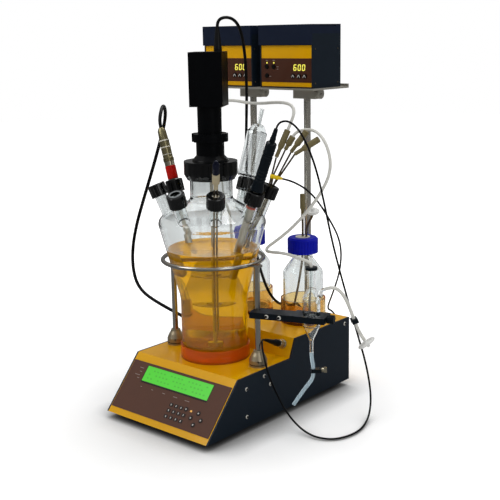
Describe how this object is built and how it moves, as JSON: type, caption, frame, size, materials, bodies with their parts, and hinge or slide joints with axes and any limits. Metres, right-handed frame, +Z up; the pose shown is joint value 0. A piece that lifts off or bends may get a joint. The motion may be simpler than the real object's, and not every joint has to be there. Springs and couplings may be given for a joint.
{
  "type": "bench bioreactor",
  "caption": "Bench bioreactor: glass vessel on a sloped control base, top mixing drive, leaning capped ports with probes, reagent bottles in cups and pumps on a rod stand.",
  "frame": {"origin": "at bench height, midway between the four foot recesses", "axes": "+Z up, the control panel faces -Y, +X to the right of a user facing the panel"},
  "size_m": [0.4966, 0.4676, 0.6503],
  "materials": {
    "air_hose": "satin",
    "base_cover": "gloss",
    "base_plate": "satin",
    "bearing_tube": "satin",
    "bottle_cap_left": "satin",
    "bottle_cap_right": "satin",
    "bottle_cups": "clear tinted",
    "bottle_left": "clear",
    "bottle_right": "clear",
    "bottle_stoppers": "matt",
    "bottle_tubes": "satin",
    "cable_boot": "matt",
    "cap_condenser": "satin",
    "cap_do": "satin",
    "cap_front": "satin",
    "cap_front_left": "satin",
    "cap_left": "satin",
    "cap_ph": "satin",
    "cap_quad": "satin",
    "case_screws": "bright",
    "condenser": "clear",
    "control_overlay": "satin film",
    "cord_plugs": "satin",
    "couplings": "satin",
    "disc_filters": "satin",
    "do_cable": "satin",
    "do_probe": "satin",
    "drain_hose": "satin",
    "drive_cable": "satin",
    "drive_housing": "satin",
    "glass_vessel": "clear",
    "lcd_display": "clear window",
    "lock_ring": "satin",
    "main_cap": "satin",
    "ph_cable": "satin",
    "ph_probe": "gloss",
    "pinch_clamps": "satin",
    "pinch_screw": "satin",
    "port_seals": "matt",
    "post_feet": "polished",
    "pump_cases": "satin",
    "pump_faces": "satin film",
    "pump_hoods": "satin",
    "pump_keys_left": "satin",
    "pump_keys_right": "satin",
    "pump_shelf": "satin",
    "rubber_feet": "matt",
    "sample_hose": "satin",
    "sampler_arm": "satin",
    "sampler_glass": "clear",
    "sampler_knob": "satin",
    "side_hose": "satin",
    "side_plates": "satin",
    "sockets": "satin",
    "stand_rods": "polished",
    "steel_lines": "satin",
    "stirrer_shaft": "satin",
    "temperature_cable": "satin",
    "vessel_ring": "polished",
    "vessel_seat": "clear tinted"
  },
  "bodies": {
    "frame": {"air_hose": "air_hose", "base_cover": "base_cover", "base_plate": "base_plate", "bearing_tube": "bearing_tube", "bottle_cups": "bottle_cups", "bottle_left": "bottle_left", "bottle_right": "bottle_right", "bottle_stoppers": "bottle_stoppers", "bottle_tubes": "bottle_tubes", "cable_boot": "cable_boot", "case_screws": "case_screws", "condenser": "condenser", "control_overlay": "control_overlay", "cord_plugs": "cord_plugs", "couplings": "couplings", "disc_filters": "disc_filters", "do_cable": "do_cable", "do_probe": "do_probe", "drain_hose": "drain_hose", "drive_cable": "drive_cable", "drive_housing": "drive_housing", "glass_vessel": "glass_vessel", "lcd_display": "lcd_display", "ph_cable": "ph_cable", "ph_probe": "ph_probe", "pinch_clamps": "pinch_clamps", "port_seals": "port_seals", "post_feet": "post_feet", "pump_cases": "pump_cases", "pump_faces": "pump_faces", "pump_hoods": "pump_hoods", "pump_shelf": "pump_shelf", "rubber_feet": "rubber_feet", "sample_hose": "sample_hose", "sampler_arm": "sampler_arm", "sampler_glass": "sampler_glass", "side_hose": "side_hose", "side_plates": "side_plates", "sockets": "sockets", "stand_rods": "stand_rods", "steel_lines": "steel_lines", "temperature_cable": "temperature_cable", "vessel_ring": "vessel_ring", "vessel_seat": "vessel_seat"},
    "stirrer_shaft": {"stirrer_shaft": "stirrer_shaft"},
    "main_cap": {"main_cap": "main_cap"},
    "lock_ring": {"lock_ring": "lock_ring"},
    "bottle_cap_left": {"bottle_cap_left": "bottle_cap_left"},
    "bottle_cap_right": {"bottle_cap_right": "bottle_cap_right"},
    "pump_keys_left": {"pump_keys_left": "pump_keys_left"},
    "pump_keys_right": {"pump_keys_right": "pump_keys_right"},
    "sampler_knob": {"sampler_knob": "sampler_knob"},
    "pinch_screw": {"pinch_screw": "pinch_screw"},
    "cap_front": {"cap_front": "cap_front"},
    "cap_front_left": {"cap_front_left": "cap_front_left"},
    "cap_left": {"cap_left": "cap_left"},
    "cap_ph": {"cap_ph": "cap_ph"},
    "cap_condenser": {"cap_condenser": "cap_condenser"},
    "cap_quad": {"cap_quad": "cap_quad"},
    "cap_do": {"cap_do": "cap_do"}
  },
  "joints": [
    {"name": "mixer_stroke", "type": "slide", "parent": "frame", "child": "stirrer_shaft", "axis": [0, 0, 1], "range_m": [-0.0015, 0.0015], "stiffness_N_per_m": 15000},
    {"name": "main_cap_turn", "type": "hinge", "parent": "frame", "child": "main_cap", "pos_m": [0, -0.0405, 0.412], "axis": [0, 0, 1], "range_deg": [0, 360]},
    {"name": "lock_ring_turn", "type": "hinge", "parent": "frame", "child": "lock_ring", "pos_m": [0, -0.0405, 0.461], "axis": [0, 0, 1], "range_deg": [0, 360]},
    {"name": "sampler_knob_turn", "type": "hinge", "parent": "frame", "child": "sampler_knob", "pos_m": [0.20762, -0.00044, 0.1845], "axis": [0.9426, 0.3338, 0], "range_deg": [0, 360]},
    {"name": "pinch_screw_turn", "type": "hinge", "parent": "frame", "child": "pinch_screw", "pos_m": [0.19074, -0.00289, 0.09753], "axis": [0.7545, 0.6557, 0.0285], "range_deg": [0, 360]},
    {"name": "cap_front_turn", "type": "hinge", "parent": "frame", "child": "cap_front", "pos_m": [0.06808, -0.10398, 0.3719], "axis": [0.2858, -0.2665, 0.9205], "range_deg": [0, 360]},
    {"name": "cap_front_left_turn", "type": "hinge", "parent": "frame", "child": "cap_front_left", "pos_m": [0.01295, -0.13268, 0.3719], "axis": [0.0544, -0.3869, 0.9205], "range_deg": [0, 360]},
    {"name": "cap_left_turn", "type": "hinge", "parent": "frame", "child": "cap_left", "pos_m": [-0.08504, -0.07836, 0.3719], "axis": [-0.357, -0.1589, 0.9205], "range_deg": [0, 360]},
    {"name": "cap_ph_turn", "type": "hinge", "parent": "frame", "child": "cap_ph", "pos_m": [-0.09009, -0.0342, 0.37294], "axis": [-0.3083, 0.0216, 0.9511], "range_deg": [0, 360]},
    {"name": "cap_condenser_turn", "type": "hinge", "parent": "frame", "child": "cap_condenser", "pos_m": [-0.0073, 0.0523, 0.3719], "axis": [-0.0307, 0.3895, 0.9205], "range_deg": [0, 360]},
    {"name": "cap_quad_turn", "type": "hinge", "parent": "frame", "child": "cap_quad", "pos_m": [0.07335, 0.01681, 0.3719], "axis": [0.3079, 0.2406, 0.9205], "range_deg": [0, 360]},
    {"name": "cap_do_turn", "type": "hinge", "parent": "frame", "child": "cap_do", "pos_m": [0.09307, -0.04213, 0.3719], "axis": [0.3907, -0.0068, 0.9205], "range_deg": [0, 360]},
    {"name": "bottle_cap_left_turn", "type": "hinge", "parent": "frame", "child": "bottle_cap_left", "pos_m": [-0.06, 0.124, 0.263], "axis": [0, 0, 1], "range_deg": [0, 360]},
    {"name": "bottle_cap_right_turn", "type": "hinge", "parent": "frame", "child": "bottle_cap_right", "pos_m": [0.06, 0.124, 0.263], "axis": [0, 0, 1], "range_deg": [0, 360]},
    {"name": "pump_keys_left_press", "type": "slide", "parent": "frame", "child": "pump_keys_left", "axis": [0, 1, 0], "range_m": [0, 0.0005], "stiffness_N_per_m": 1500},
    {"name": "pump_keys_right_press", "type": "slide", "parent": "frame", "child": "pump_keys_right", "axis": [0, 1, 0], "range_m": [0, 0.0005], "stiffness_N_per_m": 1500}
  ]
}
